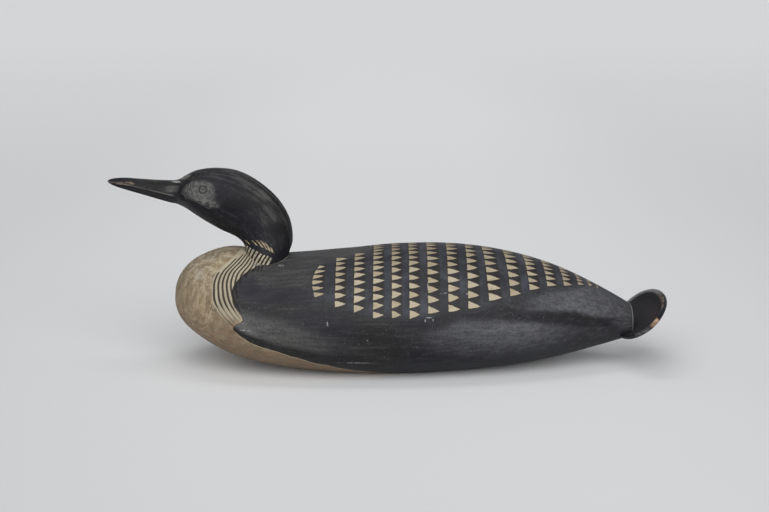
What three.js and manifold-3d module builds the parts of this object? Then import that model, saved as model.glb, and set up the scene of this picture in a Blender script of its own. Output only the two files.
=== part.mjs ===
// Loon decoy: a working decoy carved from two pieces of softwood and painted.
// Millimetres, +Z up. The bill points along -X, the keel is planed flat on z = 0,
// and the origin is the middle of that flat.

import * as THREE from 'three';
import { mergeVertices } from 'three/addons/utils/BufferGeometryUtils.js';
import Module from 'manifold-3d';

const wasm = await Module();
wasm.setup();

// Body block
const bodyLength = 572; // front of the breast to the step above the tail
const bodyWidth = 216;
const bodyHeight = 158; // lowest point of the round keel to the top of the back
const keelFlat = 6; // planed off the round keel, so that the decoy stands level

// Neck and head
const neckSeatAlong = 0.206; // middle of the neck's foot, as a share of the body's length
const headHeight = 109.5; // seat of the neck to the crown
const headLength = 142; // hind neck to the face, where the bill starts
const headWidth = 52; // over the cheeks
const neckInlet = 15; // how deep the neck's foot is let into the body on the middle line, less at its sides
const neckGap = 0.35; // play between the neck's foot and its pocket

// Bill
const billLength = 89; // face to tip
const billDepth = 28; // height at the face
const billWidth = 22; // width just ahead of the face

// Tail, a shallow dish tilted up behind the body
const tailReach = 77; // along its slope, from the lower edge to the upper
const tailWidth = 145;
const tailSlope = 41.5; // degrees above level
const tailOverlap = 18.5; // the lower edge starts this far ahead of the body's step
const tailRise = 4.5; // the lower edge's rim stands this far above the keel line at the step
const tailEdge = 5; // thickness at the rim
const tailLip = 6; // width of the raised lip round the hollow
const tailHollow = 6; // depth of the hollow at the foot of the lip
const tailDish = 3; // further dip of the hollow in its middle
const tailBulge = 14; // swell of the tail's back behind its rim

// Fineness of the facets
const bodySteps = 52;
const bodySides = 40;
const stepsPerHeadRow = 3;
const headSides = 28;
const tailSides = 44;
const weldReach = 1e-4; // points this close are one corner
const finestEdge = 0.02; // shorter edges left by the cuts are drawn together
const rowAboveSeat = 4; // row of the head where the neck is well clear of the body

const blackPaint = 0x2f3133;

// Lines of the body as shares of its own length, height and width: along, back, keel, width,
// height of the widest line, and how full the section is above and below that line
// (1 is an ellipse, more is leaner, less is fuller)
const bodyLines = [
  [0.0, 0.6, 0.6, 0.0, 0.58, 1.0, 1.0],
  [0.014, 0.778, 0.42, 0.37, 0.57, 1.0, 1.0],
  [0.056, 0.908, 0.278, 0.64, 0.55, 1.0, 1.0],
  [0.14, 0.977, 0.125, 0.855, 0.51, 1.08, 0.94],
  [0.206, 0.92, 0.072, 0.935, 0.49, 1.15, 0.9],
  [0.265, 0.928, 0.04, 0.975, 0.475, 1.1, 0.88],
  [0.38, 0.957, 0.006, 1.0, 0.456, 1.0, 0.85],
  [0.5, 0.997, 0.0, 0.986, 0.449, 1.0, 0.85],
  [0.62, 0.995, 0.016, 0.916, 0.449, 1.0, 0.88],
  [0.73, 0.937, 0.046, 0.796, 0.449, 1.0, 0.93],
  [0.82, 0.845, 0.09, 0.638, 0.443, 1.0, 1.0],
  [0.91, 0.7, 0.168, 0.43, 0.43, 1.0, 1.0],
  [1.0, 0.516, 0.26, 0.23, 0.39, 1.0, 1.0],
];

// Lines of the neck and head from the seat on the back to the face, as shares of the head's length,
// height and width: hind neck and crown line (x, z), throat line (x, z), half width, place of the
// widest line from -1 on the throat to 1 on the crown, and how full the section is above and below it
const headLines = [
  [0.177, 0.015, -0.21, 0.078, 0.64, 0.0, 1.0, 1.0],
  [0.209, 0.161, -0.235, 0.156, 0.55, 0.0, 1.0, 1.0],
  [0.199, 0.352, -0.28, 0.206, 0.5, 0.0, 1.0, 1.0],
  [0.15, 0.521, -0.337, 0.243, 0.48, 0.0, 1.0, 1.0],
  [0.063, 0.68, -0.414, 0.286, 0.48, 0.0, 1.0, 1.0],
  [-0.08, 0.841, -0.499, 0.346, 0.49, -0.1, 1.0, 1.1],
  [-0.259, 0.963, -0.583, 0.411, 0.5, -0.2, 0.95, 1.25],
  [-0.449, 0.995, -0.661, 0.478, 0.49, -0.3, 0.9, 1.45],
  [-0.611, 0.971, -0.72, 0.531, 0.44, -0.35, 0.85, 1.6],
  [-0.717, 0.911, -0.77, 0.565, 0.35, -0.35, 0.9, 1.7],
  [-0.773, 0.87, -0.808, 0.585, 0.24, -0.3, 1.2, 1.7],
];

// Lines of the bill from just ahead of the face to near the tip, as shares of its own length, depth
// and width: upper line (x, z), lower line (x, z), half width, widest line, fullness above and below
const billLines = [
  [0.13, 0.51, 0.15, -0.49, 0.5, -0.2, 1.5, 1.75],
  [0.44, 0.556, 0.44, -0.218, 0.37, -0.1, 1.75, 1.75],
  [0.746, 0.618, 0.746, 0.073, 0.25, 0.0, 1.75, 1.75],
  [0.927, 0.58, 0.927, 0.27, 0.15, 0.0, 1.4, 1.4],
];
const billTip = [1.0, 0.45];
const billAxisHeight = 0.726; // middle of the bill's root, as a share of the head's height

function chord(rows, i, k) {
  return (rows[i + 1][k] - rows[i][k]) / (rows[i + 1][0] - rows[i][0]);
}

// Slope of value k at row i: the chords on either side, blended, and a parabola's at the two ends
function slope(rows, i, k) {
  if (i === 0) {
    return 2 * chord(rows, 0, k) - slope(rows, 1, k);
  }
  if (i === rows.length - 1) {
    return 2 * chord(rows, i - 1, k) - slope(rows, i - 1, k);
  }
  const before = rows[i][0] - rows[i - 1][0];
  const after = rows[i + 1][0] - rows[i][0];
  return (chord(rows, i - 1, k) * after + chord(rows, i, k) * before) / (before + after);
}

// The values at a place on the smooth curve through rows of [place, value, value, ...]
function smooth(rows, place) {
  const above = rows.findIndex((row) => row[0] > place);
  const i = above < 0 ? rows.length - 2 : above - 1;
  const step = rows[i + 1][0] - rows[i][0];
  const f = (place - rows[i][0]) / step;
  const start = 2 * f ** 3 - 3 * f ** 2 + 1;
  const leave = (f ** 3 - 2 * f ** 2 + f) * step;
  const arrive = (f ** 3 - f ** 2) * step;
  return rows[i].map((value, k) => {
    const ends = start * value + (1 - start) * rows[i + 1][k];
    return ends + leave * slope(rows, i, k) + arrive * slope(rows, i + 1, k);
  });
}

function signedPower(value, exponent) {
  return Math.sign(value) * Math.abs(value) ** exponent;
}

// Points round one section: a function of the cosine and sine of the turn, at even turns
function ring(sides, point) {
  return Array.from({ length: sides }, (_, k) => {
    const turn = (2 * Math.PI * k) / sides;
    return point(Math.cos(turn), Math.sin(turn));
  });
}

// Closed skin over a row of rings, each end drawn together in one point
function loft(rings, startPoint, endPoint) {
  const sides = rings[0].length;
  const points = [startPoint, ...rings.flat(), endPoint];
  const last = points.length - 1;
  const faces = [];
  for (let k = 0; k < sides; k += 1) {
    const next = (k + 1) % sides;
    faces.push(0, 1 + next, 1 + k);
    for (let r = 0; r < rings.length - 1; r += 1) {
      const here = 1 + r * sides;
      const there = here + sides;
      faces.push(here + k, here + next, there + k);
      faces.push(here + next, there + next, there + k);
    }
    faces.push(last, last - sides + k, last - sides + next);
  }
  const geometry = new THREE.BufferGeometry().setFromPoints(points);
  geometry.setIndex(faces);
  return geometry;
}

function middleOf(points) {
  const sum = points.reduce((total, point) => total.add(point), new THREE.Vector3());
  return sum.divideScalar(points.length);
}

function toSolid(geometry) {
  const plain = geometry.clone();
  plain.deleteAttribute('normal');
  plain.deleteAttribute('uv');
  const welded = mergeVertices(plain, weldReach);
  const mesh = new wasm.Mesh({
    numProp: 3,
    vertProperties: new Float32Array(welded.attributes.position.array),
    triVerts: new Uint32Array(welded.index.array),
  });
  return new wasm.Manifold(mesh);
}

function toGeometry(solid) {
  const { vertProperties, triVerts } = solid.getMesh();
  const geometry = new THREE.BufferGeometry();
  geometry.setAttribute('position', new THREE.BufferAttribute(new Float32Array(vertProperties), 3));
  geometry.setIndex(new THREE.BufferAttribute(new Uint32Array(triVerts), 1));
  geometry.computeVertexNormals();
  return geometry;
}

// The root of the share along the body turns the blunt breast into a smooth start
const rootedBodyLines = bodyLines.map(([along, ...values]) => [Math.sqrt(along), ...values]);

function bodyX(along) {
  return (along - 0.5) * bodyLength;
}

function bodyZ(share) {
  return share * bodyHeight - keelFlat;
}

function bodyRing(root) {
  const [, back, keel, width, widest, above, below] = smooth(rootedBodyLines, root);
  return ring(bodySides, (across, up) => {
    const reach = up > 0 ? back - widest : widest - keel;
    const fullness = up > 0 ? above : below;
    return new THREE.Vector3(
      bodyX(root ** 2),
      (width * bodyWidth * signedPower(across, fullness)) / 2,
      bodyZ(widest + reach * signedPower(up, fullness)),
    );
  });
}

function roundBody() {
  const breast = new THREE.Vector3(bodyX(0), 0, bodyZ(bodyLines[0][1]));
  const rings = Array.from({ length: bodySteps }, (_, step) => bodyRing((step + 1) / bodySteps));
  return loft(rings, breast, middleOf(rings.at(-1)));
}

// One oval of the tail in its own plane: half sizes along its slope and across, and depth behind the rim
function tailRing(along, across, depth) {
  return ring(tailSides, (c, s) => new THREE.Vector3(-along * c, across * s, -depth));
}

// The tail's skin runs from the middle of its hollow over the rounded lip to the middle of its back
function tailDisc() {
  const along = tailReach / 2;
  const across = tailWidth / 2;
  const inset = (margin, depth) => tailRing(along - margin, across - margin, depth);
  const wallLean = tailHollow / 2;
  const lipFoot = tailLip + wallLean;
  const hollow = [0.35, 0.7, 1].map((share) => {
    const depth = tailHollow + tailDish * (1 - share ** 2);
    return tailRing(share * (along - lipFoot), share * (across - lipFoot), depth);
  });
  const rounding = tailEdge / 3;
  const lip = [
    inset(tailLip, rounding / 2),
    inset(tailLip / 2, 0),
    inset(rounding / 2, rounding / 3),
    inset(0, rounding),
  ];
  const back = [1, 0.85, 0.6, 0.3].map((share) => {
    const depth = tailEdge + tailBulge * (1 - share ** 2);
    return tailRing(share * along, share * across, depth);
  });
  const frontMiddle = new THREE.Vector3(0, 0, -tailHollow - tailDish);
  const backMiddle = new THREE.Vector3(0, 0, -tailEdge - tailBulge);
  const [stepAlong, , stepKeel] = bodyLines.at(-1);
  return loft([...hollow, ...lip, ...back], frontMiddle, backMiddle)
    .translate(along, 0, 0)
    .rotateY(-THREE.MathUtils.degToRad(tailSlope))
    .translate(bodyX(stepAlong) - tailOverlap, 0, bodyZ(stepKeel) + tailRise);
}

// Middle of the neck's foot, on the line of the back
const neckSeat = new THREE.Vector2(
  bodyX(neckSeatAlong),
  bodyZ(smooth(rootedBodyLines, Math.sqrt(neckSeatAlong))[1]),
);

// A row of the head in millimetres: row number, upper point, lower point, half width, widest line, fullness
function headRow([upperX, upperZ, lowerX, lowerZ, half, widest, above, below], number) {
  return [
    number,
    neckSeat.x + upperX * headLength,
    neckSeat.y + upperZ * headHeight,
    neckSeat.x + lowerX * headLength,
    neckSeat.y + lowerZ * headHeight,
    half * headWidth,
    widest,
    above,
    below,
  ];
}

const face = new THREE.Vector2(
  neckSeat.x + headLines.at(-1)[0] * headLength,
  neckSeat.y + billAxisHeight * headHeight,
);

function billRow([upperX, upperZ, lowerX, lowerZ, half, widest, above, below], number) {
  return [
    headLines.length + number,
    face.x - upperX * billLength,
    face.y + upperZ * billDepth,
    face.x - lowerX * billLength,
    face.y + lowerZ * billDepth,
    half * billWidth,
    widest,
    above,
    below,
  ];
}

const tip = new THREE.Vector3(face.x - billTip[0] * billLength, 0, face.y + billTip[1] * billDepth);
const tipRow = [headLines.length + billLines.length, tip.x, tip.z, tip.x, tip.z, 0, 0, 1, 1];

// The neck's foot goes straight down into its pocket from the seat
function footRow([, upperX, upperZ, lowerX, lowerZ, ...section]) {
  return [-1, upperX, upperZ - neckInlet, lowerX, lowerZ - neckInlet, ...section];
}

const seatRow = headRow(headLines[0], 0);
const headRows = [footRow(seatRow), ...headLines.map(headRow), ...billLines.map(billRow), tipRow];

// A section of the head, neck or bill, grown on every side where it shapes the pocket for the neck
function headRing(place, grow) {
  const [, upperX, upperZ, lowerX, lowerZ, half, widest, above, below] = smooth(headRows, place);
  const upper = new THREE.Vector2(upperX, upperZ);
  const lower = new THREE.Vector2(lowerX, lowerZ);
  const middle = upper.clone().add(lower).divideScalar(2);
  const reach = upper.clone().sub(middle);
  reach.setLength(reach.length() + grow);
  return ring(headSides, (across, up) => {
    const fullness = up > 0 ? above : below;
    const share = widest + (up > 0 ? 1 - widest : 1 + widest) * signedPower(up, fullness);
    const point = middle.clone().addScaledVector(reach, share);
    return new THREE.Vector3(point.x, -(half + grow) * signedPower(across, fullness), point.y);
  });
}

// Skin from the neck's foot to a place on the head, its foot let down by the growth as well
function headSkin(lastPlace, grow, endPoint) {
  const footPlace = headRows[0][0];
  const count = Math.round((lastPlace - footPlace) * stepsPerHeadRow) + 1;
  const places = Array.from({ length: count }, (_, step) => footPlace + step / stepsPerHeadRow);
  const rings = places.map((place) => headRing(place, grow));
  rings[0].forEach((point) => point.setZ(point.z - grow));
  return loft(rings, middleOf(rings[0]), endPoint ?? middleOf(rings.at(-1)));
}

function headAndNeck() {
  return toSolid(headSkin(tipRow[0] - 1 / stepsPerHeadRow, 0, tip));
}

function bodyAndTail() {
  const floorBlock = new THREE.BoxGeometry(2 * bodyLength, 2 * bodyWidth, bodyHeight);
  floorBlock.translate(0, 0, -bodyHeight / 2);
  const pocket = headSkin(rowAboveSeat, neckGap);
  const block = toSolid(roundBody()).add(toSolid(tailDisc()));
  return block.subtract(toSolid(floorBlock)).subtract(toSolid(pocket)).simplify(finestEdge);
}

function piece(name, solid) {
  const paint = new THREE.MeshStandardMaterial({ color: blackPaint, roughness: 0.5, metalness: 0 });
  const mesh = new THREE.Mesh(toGeometry(solid), paint);
  mesh.name = name;
  return mesh;
}

const decoy = new THREE.Group();
decoy.add(piece('body_and_tail', bodyAndTail()));
decoy.add(piece('head_and_neck', headAndNeck()));

export default decoy;
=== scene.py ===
import math

import bpy
import numpy as np
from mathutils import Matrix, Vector


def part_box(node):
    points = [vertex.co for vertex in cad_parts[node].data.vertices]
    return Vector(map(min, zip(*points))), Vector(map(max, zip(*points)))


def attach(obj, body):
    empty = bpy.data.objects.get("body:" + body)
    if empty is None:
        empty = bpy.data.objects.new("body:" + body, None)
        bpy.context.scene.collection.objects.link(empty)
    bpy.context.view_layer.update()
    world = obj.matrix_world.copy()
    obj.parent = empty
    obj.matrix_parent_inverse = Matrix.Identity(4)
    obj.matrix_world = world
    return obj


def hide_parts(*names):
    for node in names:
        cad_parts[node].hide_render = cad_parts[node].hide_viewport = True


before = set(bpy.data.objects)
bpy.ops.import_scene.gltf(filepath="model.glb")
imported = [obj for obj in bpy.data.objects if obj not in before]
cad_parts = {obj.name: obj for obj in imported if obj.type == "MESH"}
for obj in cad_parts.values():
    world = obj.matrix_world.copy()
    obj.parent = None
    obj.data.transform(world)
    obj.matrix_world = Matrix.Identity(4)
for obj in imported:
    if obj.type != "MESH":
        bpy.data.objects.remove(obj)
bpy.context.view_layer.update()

# Camera
# The decoy is seen from its left side and a little above, through a long lens.
camera_aim = Vector((-0.024, 0.0, 0.137))
camera_distance = 1.875
camera_elevation = math.radians(12)
camera_back = Vector((0, -math.cos(camera_elevation), math.sin(camera_elevation)))
camera_data = bpy.data.cameras.new("camera")
camera_data.lens = 70.2


def new_object(name, data):
    """A new object in the scene for a mesh, a lamp or a camera."""
    made = bpy.data.objects.new(name, data)
    bpy.context.scene.collection.objects.link(made)
    return made


camera = new_object("camera", camera_data)
camera.location = camera_aim + camera_distance * camera_back
camera.rotation_euler = (-camera_back).to_track_quat("-Z", "Y").to_euler()
bpy.context.scene.camera = camera
bpy.context.scene.view_settings.view_transform = "Standard"

# Head and neck
# Bill, head and neck are one carving of softwood, let into the back of the body. The throat bars, the
# strokes above them and the ring of the eye are cut with a knife, and the whole is painted black and worn.
millimetre = 0.001  # every size of the carvings is in millimetres
head_height = 109.5
head_length = 142.0
head_width = 52.0
neck_inlet = 15.0
bill_length = 89.0
bill_depth = 28.0
bill_width = 22.0
bill_axis = 0.726
bill_tip_height = 0.45

# Upper x and z, lower x and z, half width, widest line, fullness above and below it
head_lines = np.array([
    [0.177, 0.015, -0.21, 0.078, 0.64, 0, 1, 1],
    [0.209, 0.161, -0.235, 0.156, 0.55, 0, 1, 1],
    [0.199, 0.352, -0.28, 0.206, 0.5, 0, 1, 1],
    [0.15, 0.521, -0.337, 0.243, 0.48, 0, 1, 1],
    [0.063, 0.68, -0.414, 0.286, 0.48, 0, 1, 1],
    [-0.08, 0.841, -0.499, 0.346, 0.49, -0.1, 1, 1.1],
    [-0.259, 0.963, -0.583, 0.411, 0.5, -0.2, 0.95, 1.25],
    [-0.449, 0.995, -0.661, 0.478, 0.49, -0.3, 0.9, 1.45],
    [-0.611, 0.971, -0.72, 0.531, 0.44, -0.35, 0.85, 1.6],
    [-0.717, 0.911, -0.77, 0.565, 0.35, -0.35, 0.9, 1.7],
    [-0.773, 0.87, -0.808, 0.585, 0.24, -0.3, 1.2, 1.7],
])
bill_lines = np.array([
    [0.13, 0.51, 0.15, -0.49, 0.5, -0.2, 1.5, 1.75],
    [0.44, 0.556, 0.44, -0.218, 0.37, -0.1, 1.75, 1.75],
    [0.746, 0.618, 0.746, 0.073, 0.25, 0, 1.75, 1.75],
    [0.927, 0.58, 0.927, 0.27, 0.15, 0, 1.4, 1.4],
])

head_low = np.array(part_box("head_and_neck")[0]) / millimetre
face_x = head_low[0] + bill_length
neck_seat = np.array([
    face_x - head_lines[-1, 0] * head_length,
    head_low[2] + neck_inlet - head_lines[0, 1] * head_height,
])
face_z = neck_seat[1] + bill_axis * head_height


def rows_in_millimetres(lines, origin, size, width):
    """Lines given as shares, turned into millimetres from an origin."""
    rows = lines.copy()
    rows[:, 0:4:2] = origin[0] + lines[:, 0:4:2] * size[0]
    rows[:, 1:4:2] = origin[1] + lines[:, 1:4:2] * size[1]
    rows[:, 4] = lines[:, 4] * width
    return rows


head_rows = rows_in_millimetres(head_lines, neck_seat, (head_length, head_height), head_width)
bill_rows = rows_in_millimetres(bill_lines, (face_x, face_z), (-bill_length, bill_depth), bill_width)
tip_z = face_z + bill_tip_height * bill_depth
tip_row = np.array([[head_low[0], tip_z, head_low[0], tip_z, 0, 0, 1, 1]])
foot_row = head_rows[:1] - np.array([0, neck_inlet, 0, neck_inlet, 0, 0, 0, 0])
all_rows = np.vstack([foot_row, head_rows, bill_rows, tip_row])
all_rows = np.column_stack([np.arange(len(all_rows)) - 1.0, all_rows])


def smooth(rows, place):
    """The values at a place on smooth curves through rows of (place, value, value, ...).

    Between two rows each value is the cubic that has the rows' values and slopes. A slope is the mean of
    the chords before and after the row, each weighted by the other's step, and the ends are parabolas.
    """
    steps = np.diff(rows[:, 0])[:, None]
    chords = np.diff(rows[:, 1:], axis=0) / steps
    inner = (chords[:-1] * steps[1:] + chords[1:] * steps[:-1]) / (steps[:-1] + steps[1:])
    slopes = np.vstack([2 * chords[:1] - inner[:1], inner, 2 * chords[-1:] - inner[-1:]])
    span = np.clip(np.searchsorted(rows[:, 0], place, side="right") - 1, 0, len(steps) - 1)
    step = steps[span]
    f = (place - rows[span, 0])[..., None] / step
    start = 2 * f**3 - 3 * f**2 + 1
    leave = (f**3 - 2 * f**2 + f) * step
    arrive = (f**3 - f**2) * step
    ends = start * rows[span, 1:] + (1 - start) * rows[span + 1, 1:]
    return ends + leave * slopes[span] + arrive * slopes[span + 1]


def signed_power(value, exponent):
    """The value's size to a power, with the value's sign."""
    return np.sign(value) * np.abs(value) ** exponent


def head_point(place, turn, grow=0.0):
    """Points of the head, neck and bill at a place along its rows and a turn in degrees.

    The turn is 0 on the hind neck and crown, 90 on the bird's left and 180 on the throat. Between the
    upper and lower points of a row, the share of the way is the widest line plus the rest times cos(turn)
    to the power of the fullness, and the distance across is the half width times sin(turn) to that power.
    """
    place, turn = np.broadcast_arrays(place, np.radians(turn))
    rows = np.moveaxis(smooth(all_rows, place), -1, 0)
    upper, lower = rows[0:2], rows[2:4]
    half, widest, above, below = rows[4:]
    is_upper = np.cos(turn) > 0
    fullness = np.where(is_upper, above, below)
    rest = np.where(is_upper, 1 - widest, 1 + widest)
    share = widest + rest * signed_power(np.cos(turn), fullness)
    reach = (upper - lower) / 2
    length = np.maximum(np.linalg.norm(reach, axis=0), 1e-6)
    middle = (upper + lower) / 2
    x, z = middle + reach * (1 + grow / length) * share
    y = -(half + grow) * signed_power(np.sin(turn), fullness)
    return np.stack([x, y, z], -1)


def outward(grid):
    """Unit normals of a grid of points whose rows are rings, from its differences along and round it."""
    along = np.gradient(grid, axis=0)
    around = np.roll(grid, -1, axis=1) - np.roll(grid, 1, axis=1)
    normal = np.cross(around, along)
    return normal / np.maximum(np.linalg.norm(normal, axis=-1, keepdims=True), 1e-9)


def ring_skin(name, grid, first_pole, last_pole):
    """Closed mesh over a grid whose rows are rings, with a fan of triangles to a pole at each end."""
    rows, sides = grid.shape[:2]
    points = np.vstack([grid.reshape(-1, 3), first_pole, last_pole])
    here = np.arange(rows * sides).reshape(rows, sides)
    after = np.roll(here, -1, axis=1)
    quads = np.stack([here[:-1], after[:-1], after[1:], here[1:]], -1).reshape(-1, 4)
    first = rows * sides
    front_fan = np.column_stack([np.full(sides, first), after[0], here[0]])
    back_fan = np.column_stack([np.full(sides, first + 1), here[-1], after[-1]])
    mesh = bpy.data.meshes.new(name)
    faces = quads.tolist() + front_fan.tolist() + back_fan.tolist()
    mesh.from_pydata((points * millimetre).tolist(), [], faces)
    mesh.update()
    return new_object(name, mesh)


def steps_between(*stops):
    """Even steps between stops, given as (value, steps to the next stop), the last with no steps."""
    runs = [
        np.linspace(start, end, count, endpoint=False)
        for (start, count), (end, _) in zip(stops[:-1], stops[1:])
    ]
    return np.concatenate([*runs, [stops[-1][0]]])


def bell(value, middle, width):
    """A bell curve, 1 at the middle and 0.37 at the width from it."""
    return np.exp(-(((value - middle) / width) ** 2))


def ease(value, low, high):
    """Rises smoothly from 0 at low to 1 at high."""
    f = np.clip((value - low) / (high - low), 0, 1)
    return f * f * (3 - 2 * f)


def band(value, low, low_full, high_full, high):
    """1 between the two full marks, easing to 0 at the outer two."""
    return ease(value, low, low_full) * (1 - ease(value, high_full, high))


def hand_waves(points, depth, length, seed):
    """Gentle waves of a carved surface, from 0 to a depth: the mean of sine waves of seeded way and phase."""
    dice = np.random.default_rng(seed)
    total = np.zeros(points.shape[:-1])
    wave_count = 10
    for _ in range(wave_count):
        way = dice.normal(size=3)
        way *= dice.uniform(0.6, 1.6) / (length * np.linalg.norm(way))
        total += np.sin(2 * math.pi * (points @ way) + dice.uniform(0, 2 * math.pi))
    return depth * (0.5 + 0.5 * total / wave_count)


# Throat bars and strokes. Each is known by its degrees of turn at the seat, and leans as it goes up.
bar_cuts = np.array([65.5, 76.8, 87.2, 97.2, 108.8, 121.8, 134.7, 147.5, 160.5, 173.5, 186.5, 199.5])
bar_lean = -18.0  # degrees of turn for each row upwards
bar_tops = np.array([
    [70, -0.25], [74, -0.15], [82.6, -0.01], [91.4, 0.04], [100.4, 0.11], [110.4, 0.27], [121, 0.4],
    [131.6, 0.53], [150, 0.8], [180, 1.15],
])
bar_depth = 0.6
stroke_turns = np.array([67.4, 73.3, 79.2, 87.0, 97.8, 117.0])
stroke_lean = 14.0
stroke_half = 1.7  # half width in degrees of turn
stroke_middles = np.array([
    [74.2, 0.485, 0.18], [83, 0.7, 0.22], [93.4, 1.01, 0.38], [103.5, 1.18, 0.38], [115.5, 1.25, 0.3],
    [134.6, 1.25, 0.34],
])


def nearest_line(value, lines):
    """Distance to the nearest of some lines in rising order, and the distance between the lines there."""
    number = np.round(np.interp(value, lines, np.arange(len(lines)))).astype(int)
    return np.abs(value - lines[number]), np.gradient(lines)[number]


def throat_cuts(place, turn):
    """How deep the bars and strokes are cut, how light the ridges between bars are, how light the strokes."""
    side = np.abs(turn)
    bar_value = side - bar_lean * place
    bar_off, bar_pitch = nearest_line(bar_value, bar_cuts)
    bar_top = np.interp(side, bar_tops[:, 0], bar_tops[:, 1])
    bar_band = (1 - ease(place, bar_top - 0.06, bar_top + 0.06)) * ease(bar_value, 66, 68)
    bar_cut = bell(bar_off, 0, 0.2 * bar_pitch) * bar_band
    bar_ridge = ease(bar_off, 0.16 * bar_pitch, 0.3 * bar_pitch) * bar_band
    stroke_value = side - stroke_lean * place
    stroke_off, _ = nearest_line(stroke_value, stroke_turns)
    stroke_middle = np.interp(side, stroke_middles[:, 0], stroke_middles[:, 1])
    stroke_reach = np.interp(side, stroke_middles[:, 0], stroke_middles[:, 2])
    stroke_band = bell(place, stroke_middle, stroke_reach) * band(stroke_value, 64, 66, 120, 124)
    stroke_light = bell(stroke_off, 0, stroke_half) * ease(stroke_band, 0.4, 0.6)
    stroke_cut = bell(stroke_off, 2.2 * stroke_half, stroke_half) * stroke_band
    return np.maximum(bar_cut, stroke_cut), bar_ridge, stroke_light


# The jaw is a carved edge from the corner of the bill back below the cheek. Both are given by place and turn
jaw_line = np.array([[5.28, 94.0], [5.92, 112.0], [6.53, 110.0], [7.23, 101.0], [8.18, 89.0], [9.01, 75.0]])
jaw_depth = 0.9
girth_mm = 0.5  # millimetres round the head for a degree of turn
cheek_outline = np.array([
    [9.01, 75], [8.77, 60], [8.34, 50.5], [7.9, 46.4], [7.24, 50.4], [6.8, 53.9], [6.54, 61.3],
    [6.3, 71.8], [6.04, 81], [5.63, 88], [5.28, 94.5], [5.61, 105], [5.98, 113], [6.53, 110],
    [7.23, 101], [7.94, 90], [8.48, 86],
])
eye_middle = head_point(np.array(7.10), np.array(71.0))
eye_ring = 4.6  # radius of the middle of the cut
eye_cut_width = 0.95
eye_cut_depth = 0.65
pupil = 0.9


def below_jaw(place, turn):
    """Millimetres round the head below the jaw's edge, and how much of the edge there is at a place."""
    ends = jaw_line[[0, -1], 0]
    jaw_turn = smooth(jaw_line, np.clip(place, *ends))[..., 0]
    there = band(place, ends[0] - 0.1, ends[0] + 0.7, ends[1] - 0.2, ends[1] + 0.3)
    return (np.abs(turn) - jaw_turn) * girth_mm, there


def outline_depth(points, outline):
    """How far inside a closed outline flat points lie, and less than 0 outside it.

    The distance is to the nearest of its sides, and a point is inside where a ray crosses an odd number.
    """
    start, end = outline, np.roll(outline, -1, axis=0)
    way = end - start
    off = points[..., None, :] - start
    share = np.clip((off * way).sum(-1) / (way**2).sum(-1), 0, 1)
    distance = np.linalg.norm(off - share[..., None] * way, axis=-1).min(-1)
    is_between = (start[:, 1] > points[..., None, 1]) != (end[:, 1] > points[..., None, 1])
    rise = np.where(np.abs(way[:, 1]) < 1e-9, 1e-9, way[:, 1])
    is_crossed = is_between & (off[..., 0] < way[:, 0] * off[..., 1] / rise)
    return np.where(is_crossed.sum(-1) % 2 == 1, distance, -distance)


# The head's grid is finest round the eye, then at the throat bars, and finer at the sides than elsewhere
head_places = steps_between((-1.0, 70), (1.9, 44), (6.2, 76), (8.0, 42), (11.0, 84), (14.97, 0))
side_turns = steps_between((0.0, 22), (50.0, 96), (150.0, 22), (180.0, 0))
head_turns = np.concatenate([-side_turns, side_turns[-2:0:-1]])
head_grid = head_point(head_places[:, None], head_turns[None, :])
head_place_at, head_turn_at = np.broadcast_arrays(head_places[:, None], head_turns[None, :])
head_side_at = np.abs(head_turn_at)
head_cut, bar_ridge, stroke_light = throat_cuts(head_place_at, head_turn_at)
jaw_at, jaw_there = below_jaw(head_place_at, head_turn_at)
jaw_cut = jaw_depth * band(jaw_at, 0, 2.5, 8, 14) * jaw_there
from_eye = np.linalg.norm(np.abs(head_grid) - np.abs(eye_middle), axis=-1)
eye_cut = eye_cut_depth * (bell(from_eye, eye_ring, eye_cut_width) + bell(from_eye, 0, pupil))
cheek_end = 140.0  # the turn where the throat begins
nowhere = -20.0  # millimetres, a depth that keeps a pattern away
far_off = 99.0  # millimetres, a distance that keeps a pattern away
cheek_at = outline_depth(head_grid[..., [0, 2]], head_point(*cheek_outline.T)[:, [0, 2]])
cheek_at = np.where(head_side_at < cheek_end, cheek_at, nowhere)

# The grain runs along the carving: distance along it, across it, and up from its middle line
middle_line_points = head_point(head_places[:, None], np.array([[0.0, 180.0]])).mean(1)
steps_along = np.linalg.norm(np.diff(middle_line_points, axis=0), axis=-1)
along_head = np.concatenate([[0.0], np.cumsum(steps_along)])[:, None] + 0 * head_turns
up_head = np.linalg.norm(head_grid - middle_line_points[:, None], axis=-1) * np.cos(np.radians(head_turns))
head_grain = np.stack([along_head, head_grid[..., 1], up_head], -1) * millimetre
eye_angle = np.arctan2(head_grid[..., 2] - eye_middle[2], head_grid[..., 0] - eye_middle[0])
round_eye = np.stack([from_eye * 0.6, eye_angle * 2.0, np.sign(head_turn_at)], -1)

head_waves = hand_waves(head_grid, depth=0.3, length=26, seed=3) * ease(head_places, 2.0, 4.0)[:, None]
head_depth = bar_depth * head_cut + jaw_cut + eye_cut + head_waves
head_grid = head_grid - outward(head_grid) * head_depth[..., None]
foot_middle = head_grid[0].mean(0)
tip_point = np.array([head_low[0], 0, tip_z])
painted_head = ring_skin("painted_head", head_grid, foot_middle, tip_point)


def add_values(mesh, name, values):
    """Gives the mesh a number or a vector at each of its points, which the paint reads by name."""
    kind, key = ("FLOAT_VECTOR", "vector") if values.ndim == 2 else ("FLOAT", "value")
    layer = mesh.attributes.new(name, kind, "POINT")
    layer.data.foreach_set(key, values.astype(np.float32).ravel())


def with_poles(grid, first, last):
    """Values of a grid in the order of its skin's points, with one for each pole at the end."""
    flat = grid.reshape(-1, *grid.shape[2:])
    return np.concatenate([flat, np.zeros((2, *flat.shape[1:])) + np.array([first, last])], axis=0)


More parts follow.
